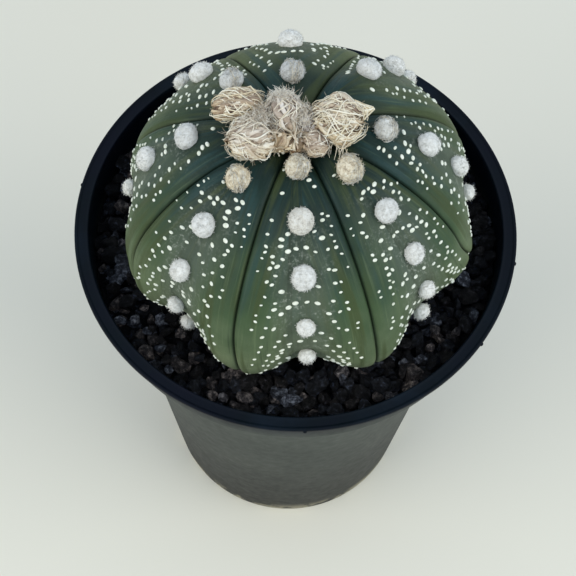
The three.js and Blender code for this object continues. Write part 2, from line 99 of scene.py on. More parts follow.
def lattice(cell, seed):
    """A repeatable value in -1..1 for each whole-number cell."""
    x, y, z = (cell[..., k] * factor for k, factor in enumerate(CELL_FACTORS))
    h = x ^ y ^ z ^ (seed * SEED_FACTOR)
    h = (h ^ (h >> 13)) * SCRAMBLE_FACTOR
    h = h ^ (h >> 16)
    return (h & 0xFFFF) / 32767.5 - 1.0


def value_noise(points, size, seed):
    """Smooth noise in -1..1 at points, with lumps about size across."""
    place = np.asarray(points, float) / size
    cell = np.floor(place).astype(np.int64)
    t = smooth(place - cell)
    total = 0.0
    for corner in itertools.product((0, 1), repeat=3):
        weight = np.prod(np.where(corner, t, 1 - t), axis=-1)
        total = total + weight * lattice(cell + corner, seed)
    return total


def layered_noise(points, layers):
    """Noises added up, each given by its height, the size of its lumps and its seed."""
    return sum(height * value_noise(points, size, seed) for height, size, seed in layers)


def unit(v):
    return v / np.maximum(np.linalg.norm(v, axis=-1, keepdims=True), 1e-9)


def side_axes(normals):
    """Two unit vectors square to each normal."""
    is_flat = np.abs(normals[..., 2:3]) < 0.9
    first = unit(np.cross(np.where(is_flat, [0.0, 0.0, 1.0], [1.0, 0.0, 0.0]), normals))
    return first, np.cross(normals, first)


def steps_round(count):
    """The angles of count even steps round a circle."""
    return np.arange(count) / count * 2 * pi


def scatter(random, count):
    """A random vector for each of count things."""
    return random.normal(size=(count, 3))


def nearest(places, spot):
    """The distance from spot to the nearest of the places."""
    return np.min(np.linalg.norm(np.array(places) - spot, axis=1)) if places else inf


# Meshes
class Shape:
    """Points in millimetres, faces, and a value for each point under each name."""

    def __init__(self):
        self.points = []
        self.faces = []
        self.values = {}
        self.count = 0

    def add(self, points, faces, **values):
        """Adds a body. A value is one number, one for each point, or one for each equal strand."""
        self.points.append(points)
        self.faces += [block + self.count for block in faces]
        for key, value in values.items():
            value = np.atleast_1d(value)
            each = len(points) // max(len(value), 1)
            self.values.setdefault(key, []).append(np.repeat(value, each))
        self.count += len(points)

    def build(self, name, material, is_smooth=True):
        mesh = bpy.data.meshes.new(name)
        faces = [face for block in self.faces for face in block.tolist()]
        mesh.from_pydata(np.concatenate(self.points) * MM, [], faces, shade_flat=not is_smooth)
        for key, blocks in self.values.items():
            attribute = mesh.attributes.new(key, "FLOAT", "POINT")
            attribute.data.foreach_set("value", np.concatenate(blocks).astype(np.float32))
        mesh.materials.append(material)
        return add_object(name, mesh)


def add_object(name, data):
    made = bpy.data.objects.new(name, data)
    bpy.context.scene.collection.objects.link(made)
    return made


def finish_piece(piece, node):
    """Hangs a piece on the root body, and hides the part of the model that it stands for."""
    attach(piece, "root")
    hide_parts(node)


def grid_faces(rows, columns, is_loop=False):
    """Quads between the closed rows of a grid, and in a loop from its last row to its first too."""
    strips = rows if is_loop else rows - 1
    row, column = np.meshgrid(np.arange(strips), np.arange(columns), indexing="ij")
    here = row * columns
    after = (row + 1) % rows * columns
    right = (column + 1) % columns
    return np.stack([here + column, after + column, after + right, here + right], -1).reshape(-1, 4)


def fan_faces(tip, start, columns):
    """Triangles from the point tip to the closed row whose first point is start."""
    column = np.arange(columns)
    return np.stack([np.full(columns, tip), start + column, start + (column + 1) % columns], -1)


def closed_faces(rows, columns):
    """Faces of a grid of closed rows that two points after the grid shut at its first and last row."""
    first_tip = rows * columns
    last_fan = fan_faces(first_tip + 1, first_tip - columns, columns)[:, ::-1]
    return [grid_faces(rows, columns), fan_faces(first_tip, 0, columns), last_fan]


def turned_rows(profile, segments):
    """A closed row of points round the Z axis for each radius and height of the profile."""
    profile = np.asarray(profile, float)
    turn = steps_round(segments)
    radius = profile[:, :1]
    height = np.repeat(profile[:, 1:], segments, 1)
    return np.stack([radius * np.cos(turn), radius * np.sin(turn), height], -1).reshape(-1, 3)


def turned(profile, segments):
    """Points and faces of a closed body of revolution whose profile starts and ends on the axis."""
    ends = [[0, 0, profile[0][1]], [0, 0, profile[-1][1]]]
    points = np.concatenate([turned_rows(profile[1:-1], segments), ends])
    return points, [block[:, ::-1] for block in closed_faces(len(profile) - 2, segments)]


def ball(segments, rings):
    """A unit ball of quads with triangles at its poles."""
    tilt = np.arange(1, rings) / rings * pi
    rows = turned_rows(np.stack([np.sin(tilt), np.cos(tilt)], -1), segments)
    return np.concatenate([rows, [[0, 0, 1], [0, 0, -1]]]), closed_faces(rings - 1, segments)


# Strands
STRAND_STEPS = 15
# A skew direction, so that no strand's frame is undefined
SKEW = (0.21, 0.37, 0.11)
RIPPLE_HEIGHT = 0.05
# Unevenness of wound strands: height, size of the lumps and seed
CRUMPLES = ((0.16, 0.55, 5), (0.07, 0.25, 6))


def swept(path, radius, sides, flatness=1.0):
    """Tubes along many paths: path is strands x steps x 3, and radius is strands x steps."""
    count, steps, _ = path.shape
    tangent = unit(np.gradient(path, axis=1))
    guide = unit(np.cross(tangent[:, :1], unit(path[:, -1:] - path[:, :1]) + SKEW))
    normal = unit(guide - (guide * tangent).sum(-1, keepdims=True) * tangent)
    other = np.cross(tangent, normal)
    turn = steps_round(sides)[:, None]
    radius = radius[..., None, None]
    ring = (
        path[:, :, None]
        + radius * np.cos(turn) * normal[:, :, None]
        + radius * flatness * np.sin(turn) * other[:, :, None]
    )
    offset = np.arange(count)[:, None, None] * steps * sides
    faces = grid_faces(steps, sides)[:, ::-1] + offset
    return ring.reshape(-1, 3), [faces.reshape(-1, 4)]


def strands(random, roots, tips, bend, radii, sides=3, steps=3, rise=0.0):
    """Many thin bent strands, each open at its root and tapering from one radius to the other."""
    t = (np.arange(steps + 1) / steps)[None, :, None]
    middle = (roots + tips) / 2 + scatter(random, len(roots)) * bend + [0, 0, rise]
    path = arc_at(roots[:, None], middle[:, None], tips[:, None], t)
    return swept(path, radii[0] + (radii[1] - radii[0]) * t[..., 0], sides)


def wound(random, count, run, span, wander, layer, radii, taper, power=3):
    """Paths over a unit ball, from near one pole of run to near the other, and their radii."""
    run = unit(np.array(run, float))
    first, second = side_axes(run[None])
    each = (count, 1, 1)
    around = random.uniform(0, 2 * pi, each)
    middle = random.uniform(-0.35, 0.45, each)
    half = random.uniform(*span, each)
    t = np.linspace(-1, 1, STRAND_STEPS)[None, :, None]
    tilt = np.clip(middle + half * t, -1.5, 1.5)
    phase = random.uniform(0, 2 * pi, each)
    waves = random.uniform(1.5, 4.0, each)
    slant = random.normal(size=each) * wander
    around = around + slant * t + 0.5 * wander * np.sin(waves * t + phase)
    ring = first[None] * np.cos(around) + second[None] * np.sin(around)
    path = ring * np.cos(tilt) + run * np.sin(tilt)
    ripple = RIPPLE_HEIGHT * np.sin(waves * 2.2 * t + phase * 1.7)
    height = random.uniform(*layer, each) + ripple
    path = path * (height + layered_noise(path + run * 9, CRUMPLES)[..., None])
    return path, random.uniform(*radii, (count, 1)) * (1 - taper * np.abs(t[..., 0]) ** power)


# Materials
def srgb(r, g, b):
    """A colour picked on screen, as the renderer's linear value."""
    def linear(v):
        v = v / 255.0
        return v / 12.92 if v <= 0.04045 else ((v + 0.055) / 1.055) ** 2.4
    return (linear(r), linear(g), linear(b), 1.0)


class Finish:
    """A node material, with short names for the nodes that the finishes use."""

    def __init__(self, name, specular, roughness=0.5):
        self.material = bpy.data.materials.new(name)
        self.material.use_nodes = True
        self.tree = self.material.node_tree
        self.tree.nodes.clear()
        self.shader = self.node(
            "ShaderNodeBsdfPrincipled", {"Roughness": roughness, "Specular IOR Level": specular}
        )
        self.node("ShaderNodeOutputMaterial", {"Surface": self.shader.outputs[0]})

    def node(self, kind, inputs=None, **settings):
        made = self.tree.nodes.new(kind)
        for key, value in settings.items():
            setattr(made, key, value)
        self.feed(made, inputs or {})
        return made

    def feed(self, node, inputs):
        """Each number or colour is set on its socket, and any other value is linked to it."""
        for key, value in inputs.items():
            if isinstance(value, (int, float, tuple)):
                node.inputs[key].default_value = value
            else:
                self.tree.links.new(value, node.inputs[key])

    def attribute(self, name):
        return self.node("ShaderNodeAttribute", attribute_name=name).outputs["Fac"]

    def place(self):
        return self.node("ShaderNodeTexCoord").outputs["Object"]

    def math(self, operation, a, b, clamp=False):
        return self.node("ShaderNodeMath", {0: a, 1: b}, operation=operation, use_clamp=clamp).outputs[0]

    def times(self, product, *factors):
        for factor in factors:
            product = self.math("MULTIPLY", product, factor)
        return product

    def varied(self, base, noise, amount):
        """The base, raised and lowered by a noise."""
        return self.math("ADD", base, self.times(self.math("SUBTRACT", noise, 0.5), amount))

    def noise(self, scale, detail=3.0, roughness=0.55, distortion=0.0, place=None):
        """Noise over the object's own coordinates, or over the place given."""
        inputs = dict(Vector=place or self.place(), Scale=scale, Detail=detail, Roughness=roughness)
        return self.node("ShaderNodeTexNoise", {**inputs, "Distortion": distortion}).outputs["Fac"]

    def ramp(self, factor, *stops):
        """Colours along a factor. Each stop is its place and its colour on screen."""
        made = self.node("ShaderNodeValToRGB", {"Fac": factor})
        elements = made.color_ramp.elements
        while len(elements) < len(stops):
            elements.new(0.5)
        for element, (position, *colour) in zip(elements, stops):
            element.position = position
            element.color = srgb(*colour)
        return made.outputs["Color"]

    def band(self, factor, start, end):
        """0 at start and 1 at end, whichever is the larger, with a smooth step between them."""
        inputs = {"Value": factor, "From Min": start, "From Max": end}
        return self.node("ShaderNodeMapRange", inputs, interpolation_type="SMOOTHSTEP").outputs["Result"]

    def mix(self, factor, a, b, blend="MIX"):
        inputs = {0: factor, 6: a, 7: b}
        return self.node("ShaderNodeMix", inputs, data_type="RGBA", blend_type=blend).outputs[2]

    def tinted(self, base, colour, *shares):
        """The base, mixed towards a colour on screen by the product of the shares."""
        return self.mix(self.times(*shares), base, srgb(*colour))

    def colour(self, source):
        self.feed(self.shader, {"Base Color": source})

    def rough(self, noise, least, spread):
        self.feed(self.shader, {"Roughness": self.math("ADD", least, self.times(noise, spread))})

    def bump(self, height, distance_mm, strength=1.0):
        inputs = {"Height": height, "Distance": distance_mm * MM, "Strength": strength}
        self.feed(self.shader, {"Normal": self.node("ShaderNodeBump", inputs).outputs[0]})


def skin_finish():
    f = Finish("cactus_skin", specular=0.22)
    across = f.attribute("across")
    along = f.attribute("along")
    height = f.attribute("height")

    def up_the_ribs(across_scale, along_scale, layer, **settings):
        inputs = {0: f.times(across, across_scale), 1: f.times(along, along_scale), 2: layer}
        return f.noise(1.0, place=f.node("ShaderNodeCombineXYZ", inputs).outputs[0], **settings)

    streaks = up_the_ribs(1.5, 0.05, 0.0, detail=4, roughness=0.6)
    bands = up_the_ribs(0.42, 0.035, 7.0, detail=2)
    level = f.varied(height, f.noise(85), 0.42)
    skin = f.ramp(
        level,
        (0.0, 129, 140, 106),
        (0.2, 97, 112, 81),
        (0.4, 65, 85, 55),
        (0.68, 26, 48, 39),
        (1.0, 9, 29, 30),
    )
    # Sunned yellowish stretches, olive bands up the ribs, teal bands up the upper ribs that are painted
    # sheen of the blue sky, and pale and dark streaks
    skin = f.tinted(skin, (98, 106, 68), f.attribute("sunned"), f.band(level, 1.0, 0.35), 0.75)
    skin = f.tinted(skin, (64, 74, 38), f.band(bands, 0.5, 0.66), 0.6)
    skin = f.tinted(skin, (34, 66, 66), f.band(bands, 0.48, 0.34), f.band(height, 0.2, 0.7), 0.55)
    pale_strength = f.math("SUBTRACT", 0.42, f.times(height, 0.3))
    skin = f.tinted(skin, (112, 128, 92), f.band(streaks, 0.54, 0.7), pale_strength)
    skin = f.tinted(skin, (36, 52, 34), f.band(streaks, 0.42, 0.3), 0.45)
    # Grey scurf low on the ribs, along the lines of areoles
    near_and_low = f.times(f.band(f.attribute("from_line"), 8.5, 2.0), f.band(height, 0.85, 0.45))
    skin = f.tinted(skin, (98, 106, 94), near_and_low, 0.5)
    speck = f.noise(1500, roughness=0.7)
    sparse = f.noise(190, detail=2)
    scurf = f.times(f.band(speck, 0.5, 0.66), f.band(sparse, 0.4, 0.62))
    skin = f.tinted(skin, (168, 174, 160), scurf, near_and_low, 0.6)
    # A dark line along each furrow is painted shade in the crease
    f.colour(f.tinted(skin, (14, 26, 14), f.band(f.attribute("from_furrow"), 0.5, 0.05), 0.7))
    pores = f.noise(900, detail=4, roughness=0.65)
    f.rough(pores, 0.4, 0.24)
    f.bump(f.math("ADD", f.times(pores, 0.7), f.times(streaks, 1.1)), 0.2, 0.8)
    return f.material


def fleck_finish():
    f = Finish("fleck_wool", roughness=0.9, specular=0.2)
    grain = f.noise(1800, detail=2)
    f.colour(f.ramp(grain, (0.3, 214, 220, 198), (0.7, 246, 248, 236)))
    return f.material


def wool_finish():
    f = Finish("areole_wool", roughness=0.95, specular=0.15)
    grain = f.noise(1300, detail=5, roughness=0.7, distortion=0.6)
    white = f.ramp(grain, (0.32, 198, 196, 188), (0.48, 230, 229, 221), (0.68, 249, 249, 244))
    tan = f.ramp(grain, (0.32, 146, 124, 98), (0.48, 230, 214, 180), (0.66, 253, 247, 226))
    aged = f.mix(f.attribute("tan"), white, tan)
    # Painted shade: the wool dimmed towards a bluish grey, most on the upper pads behind
    f.colour(f.mix(f.attribute("dull"), aged, srgb(218, 222, 228), "MULTIPLY"))
    f.bump(grain, 0.3, 0.9)
    return f.material


def petal_finish():
    f = Finish("dried_petals", roughness=0.75, specular=0.25)
    mixed = f.varied(f.attribute("tone"), f.noise(700, detail=4, roughness=0.6), 0.55)
    tan = f.ramp(
        mixed,
        (0.0, 58, 42, 30),
        (0.2, 138, 108, 78),
        (0.42, 204, 180, 142),
        (0.66, 238, 224, 190),
        (1.0, 252, 247, 228),
    )
    grey = f.ramp(mixed, (0.0, 88, 74, 66), (0.4, 176, 162, 150), (0.9, 234, 230, 224))
    f.colour(f.mix(f.attribute("grey"), tan, grey))
    f.bump(f.noise(1600), 0.12, 0.6)
    return f.material


def grit_finish():
    f = Finish("black_grit", specular=0.2)
    grain = f.noise(1000, detail=6, roughness=0.8)
    # The bright bluish specks of the grain are partly the grit's own texture and partly painted glints
    dark = f.ramp(grain, (0.46, 1, 2, 4), (0.58, 9, 12, 18), (0.7, 78, 86, 104))
    pale = f.ramp(grain, (0.36, 14, 14, 17), (0.5, 66, 66, 70), (0.64, 168, 166, 164))
    speckle_and_glint = f.mix(f.attribute("tone"), dark, pale)
    tint = f.mix(f.band(f.attribute("tint"), 0.4, 0.6), srgb(235, 205, 190), srgb(190, 215, 255))
    f.colour(f.mix(0.55, speckle_and_glint, tint, "MULTIPLY"))
    f.rough(grain, 0.2, 0.5)
    f.bump(grain, 0.8)
    return f.material


# Heights on the pot in millimetres, from where a colour starts to show to where it is full
SHADED_WALL = (100, 2)
RIM_SHADE_AND_REFLECTION = (COLLAR_BOTTOM - 1, POT_HEIGHT - 6)
STAINS = (9, 1)
FOOT_LINE = (1.8, 0.4)


def pot_finish():
    f = Finish("black_nursery_plastic", specular=0.13)
    z = f.node("ShaderNodeSeparateXYZ", {0: f.place()}).outputs["Z"]

    def between(heights):
        return f.band(z, heights[0] * MM, heights[1] * MM)

    dust = f.noise(38, detail=5, roughness=0.6)
    fine = f.noise(420, detail=4, roughness=0.6)
    # The side's grey is partly dust and partly painted sheen, the pale floor's reflection on the plastic
    dust_and_sheen = f.ramp(dust, (0.3, 54, 60, 55), (0.55, 67, 73, 67), (0.8, 86, 90, 82))
    side = f.tinted(dust_and_sheen, (12, 15, 13), between(SHADED_WALL), 0.9)
    # The rim's black plastic, with painted shade and a painted bluish reflection of the sky
    rim = f.ramp(dust, (0.3, 6, 10, 24), (0.5, 3, 12, 20), (0.7, 12, 24, 36))
    unstained = f.mix(between(RIM_SHADE_AND_REFLECTION), side, rim)
    stain = f.noise(95, detail=6, roughness=0.7, distortion=0.5)
    stained = f.times(f.band(stain, 0.46, 0.58), between(STAINS))
    mask = f.math("ADD", stained, f.times(between(FOOT_LINE), 0.5), clamp=True)
    f.colour(f.tinted(unstained, (172, 164, 138), mask, 0.75))
    f.rough(fine, 0.38, 0.24)
    f.bump(fine, 0.05, 0.5)
    return f.material


def mix_finish():
    f = Finish("potting_mix", roughness=0.95, specular=0.2)
    crumbs = f.noise(420, detail=5, roughness=0.7)
    f.colour(f.ramp(crumbs, (0.3, 22, 17, 13), (0.7, 72, 58, 44)))
    f.bump(crumbs, 0.8)
    return f.material


def floor_finish():
    f = Finish("pale_floor", roughness=0.6, specular=0.25)
    wide = f.noise(2.5, detail=2)
    f.colour(f.ramp(wide, (0.3, 223, 219, 203), (0.7, 229, 227, 213)))
    return f.material


# Pot
POT_SEGMENTS = 240
CORNER_RADIUS = 0.5
CORNER_STEPS = 4
# The most that a rounded corner may take of the stretch on either side of it
CORNER_SHARE = 0.45
BEVEL = 0.9
SMALL_STEP = 0.8
COLLAR_DRAFT = 0.2
RIM_DISH = 0.22
DRAIN_SIDES = 28
DRAIN_CUT_HEIGHTS = (-2, 6)
NUB_AZIMUTHS = (4.5, 55.8, 80.6, 171.0, 262.0)
NUB_SIZE = (0.45, 0.35, 0.55)
NUB_DROP = 0.7


def rounded(points, radius):
    """The profile with each inner corner replaced by a short arc of about radius."""
    points = [np.array(point, float) for point in points]
    out = [points[0]]
    for before, corner, after in zip(points[:-2], points[1:-1], points[2:]):
        sides = (before - corner, after - corner)
        reach = min(radius, *(CORNER_SHARE * np.linalg.norm(side) for side in sides))
        start, end = (corner + unit(side) * reach for side in sides)
        for k in range(CORNER_STEPS + 1):
            out.append(arc_at(start, corner, end, k / CORNER_STEPS))
    out.append(points[-1])
    return np.array(out)


def inner_radius_at(z):
    return BASE_RADIUS + (NECK_RADIUS - BASE_RADIUS) * z / NECK_TOP - POT_WALL


def pot_profile():
    """The pot's section, from under its middle up the outside, and down the inside to its floor."""
    foot = BASE_RADIUS - FOOT_WIDTH
    inside = COLLAR_RADIUS - POT_WALL
    flange = POT_HEIGHT - RIM_DEPTH
    floor_top = FOOT_HEIGHT + BASE_THICKNESS
    return [
        (0, FOOT_HEIGHT),
        (foot - 0.8, FOOT_HEIGHT),
        (foot - 0.4, 0),
        (BASE_RADIUS - BEVEL, 0),
        (BASE_RADIUS, 1.0),
        (NECK_RADIUS, NECK_TOP),
        (NECK_RADIUS + SMALL_STEP, NECK_TOP + BEVEL),
        (COLLAR_RADIUS - BEVEL, COLLAR_BOTTOM - 0.5),
        (COLLAR_RADIUS - COLLAR_DRAFT, COLLAR_BOTTOM + SMALL_STEP),
        (COLLAR_RADIUS, flange),
        (RIM_RADIUS, flange),
        (RIM_RADIUS, POT_HEIGHT - 0.05),
        (RIM_RADIUS - 0.55, POT_HEIGHT),
        (RIM_RADIUS - BEVEL, POT_HEIGHT - RIM_DISH),
        (inside + BEVEL, POT_HEIGHT - RIM_DISH),
        (inside + 0.3, POT_HEIGHT - 0.1),
        (inside, POT_HEIGHT - BEVEL),
        (inside - 0.1, COLLAR_BOTTOM + SMALL_STEP),
        (inside - BEVEL, COLLAR_BOTTOM),
        (NECK_RADIUS - POT_WALL, NECK_TOP),
        (inner_radius_at(floor_top), floor_top),
        (0, floor_top),
    ]


def cut_drains(pot, material):
    """Takes the drainage holes out of the pot's base."""
    plugs = Shape()
    low, high = DRAIN_CUT_HEIGHTS
    points, faces = turned([(0, low), (DRAIN_RADIUS, low), (DRAIN_RADIUS, high), (0, high)], DRAIN_SIDES)
    for turn in steps_round(DRAIN_HOLES):
        plugs.add(points + [DRAIN_CIRCLE * cos(turn), DRAIN_CIRCLE * sin(turn), 0], faces)
    cutter = plugs.build("drain_cutter", material)
    modifier = pot.modifiers.new("drain", "BOOLEAN")
    modifier.operation = "DIFFERENCE"
    modifier.object = cutter
    modifier.solver = "EXACT"
    cut = bpy.data.meshes.new_from_object(pot.evaluated_get(bpy.context.evaluated_depsgraph_get()))
    pot.modifiers.clear()
    pot.data = cut
    bpy.data.objects.remove(cutter)


def make_pot(material):
    shape = Shape()
    shape.add(*turned(rounded(pot_profile(), CORNER_RADIUS), POT_SEGMENTS))
    pot = shape.build("moulded_pot", material)
    cut_drains(pot, material)
    finish_piece(pot, "pot")

    nubs = Shape()
    points, faces = ball(8, 6)
    in_front = points * NUB_SIZE + [0, -RIM_RADIUS, POT_HEIGHT - NUB_DROP]
    for turn in np.radians(NUB_AZIMUTHS):
        nubs.add(in_front @ np.array(Matrix.Rotation(turn, 3, "Z")).T, faces)
    finish_piece(nubs.build("rim_nubs", material), "pot")


# Cactus skin. A point is given by its azimuth, in degrees from -Y towards +X, and its height angle.
BODY_CENTRE_RISE = 4.7
BODY_OFFSET = (0.7, 0.25)
BODY_LEAN = (-0.045, 0.006)
HEIGHT_ANGLES = (-40, -24, -16, -8, 6, 20, 34, 48, 62, 76, 90)
FURROW_REACH = (29, 34.6, 37.4, 39.3, 39.8, 39.8, 38.3, 36.4, 34.6, 31.3, 26.2)
RIB_LINE_RISE = (-3, -5, -5.6, -5.7, -4.2, -2.7, -1.5, -0.4, 0.4, 1.1, 1.6)
FURROW_DEPTH = 1.1
FURROW_WIDTH = 0.5
RIB_FULLNESS = 1.15
CROWN_FADE_RADIUS = 7.0
SET_BACK_TOP = 80
LOW_SIDE_TOP = 42
BASE_ZONE_TOP = 20
ZONE_BLEND = 30
# The slight unevenness of the skin: height, size of the lumps and seed, and how far it stops
# short of the furrows and of the crown
SWELLS = ((0.22, 7.0, 3), (0.08, 2.6, 4))
SWELL_FURROW_MARGIN = 2.5
SWELL_CROWN_MARGIN = 6
SLOPE_STEP = 0.5

# Each rib: the azimuths of the furrow before it and of its areole line, how far the lobe at that
# furrow stands back and how far the furrow turns aside near the base, and the height angles of
# its first areole and of the steps between them.
RIBS = (
    (-17.8, 5, 0.0, 0.8, 73.3, 17.25),
    (26.1, 49, 0.0, 1.2, 65.5, 16.85),
    (67.2, 92, 0.5, 10.5, 60, 16.4),
    (110, 139, 1.2, 0.0, 53, 16.9),
    (157, 185, 2.4, 0.0, 66.9, 22.4),
    (211, 229, 1.8, 0.0, 60, 18.3),
    (257, 272, 1.3, 0.0, 53, 19.0),
    (298.1, 318, 0.0, -0.5, 63, 17.8),
)
LAST_AREOLE_ANGLE = -10
FURROWS, LINES, SET_BACKS, LOW_TURNS = np.array(RIBS, float).T[:4]
ENDS = np.append(FURROWS[1:], FURROWS[0] + 360)


def across_rib(azimuth):
    """Place across the rib from -1 to 1, half its angle, and its lobe's set-back and low turn."""
    turn = (np.asarray(azimuth, float) - FURROWS[0]) % 360 + FURROWS[0]
    rib = np.clip(np.searchsorted(FURROWS, turn, side="right") - 1, 0, len(RIBS) - 1)
    first_half = turn < LINES[rib]
    half = np.where(first_half, LINES[rib] - FURROWS[rib], ENDS[rib] - LINES[rib])
    lobe = np.where(first_half, rib, (rib + 1) % len(RIBS))
    phase = (turn - LINES[rib]) / half
    return phase, np.radians((ENDS[rib] - FURROWS[rib]) / 2), SET_BACKS[lobe], LOW_TURNS[lobe]


def below_top(top, angle):
    """How far a height angle is under the top of a zone: 0 at its top, and 1 some way below it."""
    return smooth((top - np.asarray(angle, float)) / ZONE_BLEND)


def skin_point(azimuth, angle, furrowed=True):
    """A point of the skin, with its furrows or closed over them."""
    azimuth = np.asarray(azimuth, float)
    tilt = np.radians(np.asarray(angle, float))
    phase, half_angle, set_back, low_turn = across_rib(azimuth)
    reach = curve_at(HEIGHT_ANGLES, FURROW_REACH, angle)
    flat_radius = reach * np.cos(tilt)
    fade = smooth(flat_radius / CROWN_FADE_RADIUS)
    rib = (0.5 + 0.5 * np.cos(pi * phase)) ** RIB_FULLNESS
    rise = curve_at(HEIGHT_ANGLES, RIB_LINE_RISE, angle) * rib
    from_furrow = (1 - np.abs(phase)) * half_angle * flat_radius
    furrow = FURROW_DEPTH * np.exp(-from_furrow / FURROW_WIDTH) if furrowed else 0.0
    rho = reach + fade * (rise - furrow) - set_back * (1 - rib) * below_top(SET_BACK_TOP, angle)
    z = BODY_CENTRE_RISE + rho * np.sin(tilt)
    direction = np.radians(azimuth + low_turn * np.abs(phase) * below_top(BASE_ZONE_TOP, angle))
    x = rho * np.cos(tilt) * np.sin(direction)
    y = -rho * np.cos(tilt) * np.cos(direction)
    lean_x, lean_y = BODY_LEAN
    height = POT_HEIGHT + z - lean_x * x - lean_y * y
    return np.stack([x + lean_x * z + BODY_OFFSET[0], y + lean_y * z + BODY_OFFSET[1], height], -1)


def skin_axes(azimuth, angle):
    """Unit vectors up the skin and out of it, with its furrows left aside."""
    def run(turn, rise):
        ahead = skin_point(azimuth + turn, angle + rise, furrowed=False)
        return ahead - skin_point(azimuth - turn, angle - rise, furrowed=False)

    up = run(0, SLOPE_STEP)
    return unit(up), unit(np.cross(run(SLOPE_STEP, 0), up))


def flat_radius_at(angle):
    """How far the furrows lie from the body's axis at a height angle."""
    return curve_at(HEIGHT_ANGLES, FURROW_REACH, angle) * np.cos(np.radians(angle))


def skin_distances(azimuth, angle):
    """Distances round the body from the nearest furrow and, signed, from the line of areoles."""
    phase, half_angle, _, _ = across_rib(azimuth)
    half_width = half_angle * flat_radius_at(angle)
    return (1 - np.abs(phase)) * half_width, phase * half_width


def swollen_point(azimuth, angle):
    """A point of the skin with its slight unevenness."""
    points = skin_point(azimuth, angle)
    from_furrow, _ = skin_distances(azimuth, angle)
    crown_fade = smooth(flat_radius_at(angle) / SWELL_CROWN_MARGIN)
    swell = layered_noise(points, SWELLS) * smooth(from_furrow / SWELL_FURROW_MARGIN) * crown_fade
    return points + skin_axes(azimuth, angle)[1] * swell[..., None]


HALF_RIB_COLUMNS = 21
SKIN_ROWS = 190
TOP_ROW = 89.4
LOWEST_ROW = -39.0
CROWDING = 2.1
UNDERSIDE_DROP = 0.4
TYPICAL_RADIUS = 36.0
# The height angles at which the colour of the skin is palest and darkest
PALE_ANGLE = -12
DARK_ANGLE = 80
# The streaks of the skin differ from one eighth of the body to the next
STREAK_SECTOR = 45
STREAK_SHIFT = 40
# How far towards the back the sunned side starts, and over how much it grows, as cosines
SUNNED_FROM = 0.1
SUNNED_BLEND = 0.6


def skin_azimuths():
    """Azimuths round the body, crowded towards each furrow."""
    share = (np.arange(HALF_RIB_COLUMNS) / HALF_RIB_COLUMNS) ** CROWDING
    columns = []
    for start, line, end in zip(FURROWS, LINES, ENDS):
        columns += [start + share * (line - start), end - share[1:] * (end - line)]
    return np.sort(np.concatenate(columns))


def make_skin(material):
    azimuths = skin_azimuths()
    angles = np.linspace(TOP_ROW, LOWEST_ROW, SKIN_ROWS)
    angle, azimuth = np.meshgrid(angles, azimuths, indexing="ij")
    rows = swollen_point(azimuth, angle)
    middle = rows[-1].mean(0)
    under = [middle[0], middle[1], rows[-1, :, 2].min() - UNDERSIDE_DROP]
    points = np.concatenate([rows.reshape(-1, 3), [skin_point(0.0, 90.0), under]])

    from_furrow, from_line = skin_distances(azimuth, angle)
    shift = STREAK_SHIFT * np.floor(azimuth / STREAK_SECTOR)
    backward = -np.cos(np.radians(azimuth))
    # Each value over the grid, then at the point of the crown and at the one under the body
    looks = {
        "across": (from_furrow * np.sign(from_line) + shift, 0, 0),
        "along": (np.radians(90 - angle) * TYPICAL_RADIUS, 0, 80),
        "height": (np.clip((angle - PALE_ANGLE) / (DARK_ANGLE - PALE_ANGLE), 0, 1), 1, 0),
        "from_furrow": (from_furrow, 5, 5),
        "from_line": (np.abs(from_line), 5, 20),
        "sunned": (smooth((backward - SUNNED_FROM) / SUNNED_BLEND), 0, 0),
    }
    values = {name: np.append(grid, ends) for name, (grid, *ends) in looks.items()}
    shape = Shape()
    shape.add(points, closed_faces(SKIN_ROWS, len(azimuths)), **values)
    finish_piece(shape.build("cactus_skin", material), "cactus")


# Areoles
WOOL_RADIUS = 2.55
WOOL_LIFT = 0.8
LOW_WOOL_LIFT = 0.85
LOW_WOOL_SHRINK = 0.24
LOW_WOOL_NARROWING = 0.08
WOOL_FLATNESS = 0.86
PAD_SHARE = 0.97
# Lumps of a pad: height, size and seed
WOOL_LUMPS = ((0.07, 0.5, 7), (0.045, 0.17, 8))
DIMPLE_SPREAD = 0.05
HAIRS_PER_PAD = 330
HAIR_ROOT_DEPTH = 0.9
HAIR_DROOP = 0.25
HAIR_SWAY = 0.7
HAIR_BEND = 0.16
HAIR_LENGTHS = (0.35, 0.85)
HAIR_RADII = (0.06, 0.02)
SHAGGY_ANGLE = 57
SHAGGY_STRANDS = 40
SHAGGY_WINDING = dict(
    run=(0.3, -0.9, 0.4), span=(0.12, 0.4), wander=0.9, layer=(0.98, 1.1), radii=(0.05, 0.1),
    taper=0.4, power=1,
)
# Zones of looks: the height angle where each starts, and the stretch over which it grows full
TAN_ZONE = (52, 12)
BACK_SHADE_ZONE = (46, 20)
FRONT_SHADE_ZONE = (15, 45)


def areoles():
    """Rib number, line, height angle and pad radius of each areole, from the crown down."""
    random = np.random.default_rng(11)
    found = []
    for number, (_, line, _, _, angle, step) in enumerate(RIBS):
        while angle > LAST_AREOLE_ANGLE:
            shrink = 1 - LOW_WOOL_SHRINK * below_top(LOW_SIDE_TOP, angle)
            found.append((number, line, angle, WOOL_RADIUS * shrink * random.uniform(0.95, 1.06)))
            angle -= step
    return found


def grown(angle, start, stretch):
    return np.clip((angle - start) / stretch, 0, 1)


def wool_looks(line, angle, random):
    """How tan the wool is, and how much painted shade dims it: tan near the crown in front, and shaded
    behind.
    """
    facing = np.clip(0.4 + cos(radians(line)), 0.12, 1)
    tan = grown(angle, *TAN_ZONE) * facing * random.uniform(0.75, 1.0)
    # Painted shade, on the upper pads behind and more faintly on the front pads higher up
    dull = grown(angle, *BACK_SHADE_ZONE) * (1 - facing) ** 2
    dull += grown(angle, *FRONT_SHADE_ZONE) * 0.5 * min(1, 2.5 * facing) * (1 - 0.8 * tan)
    return tan, dull


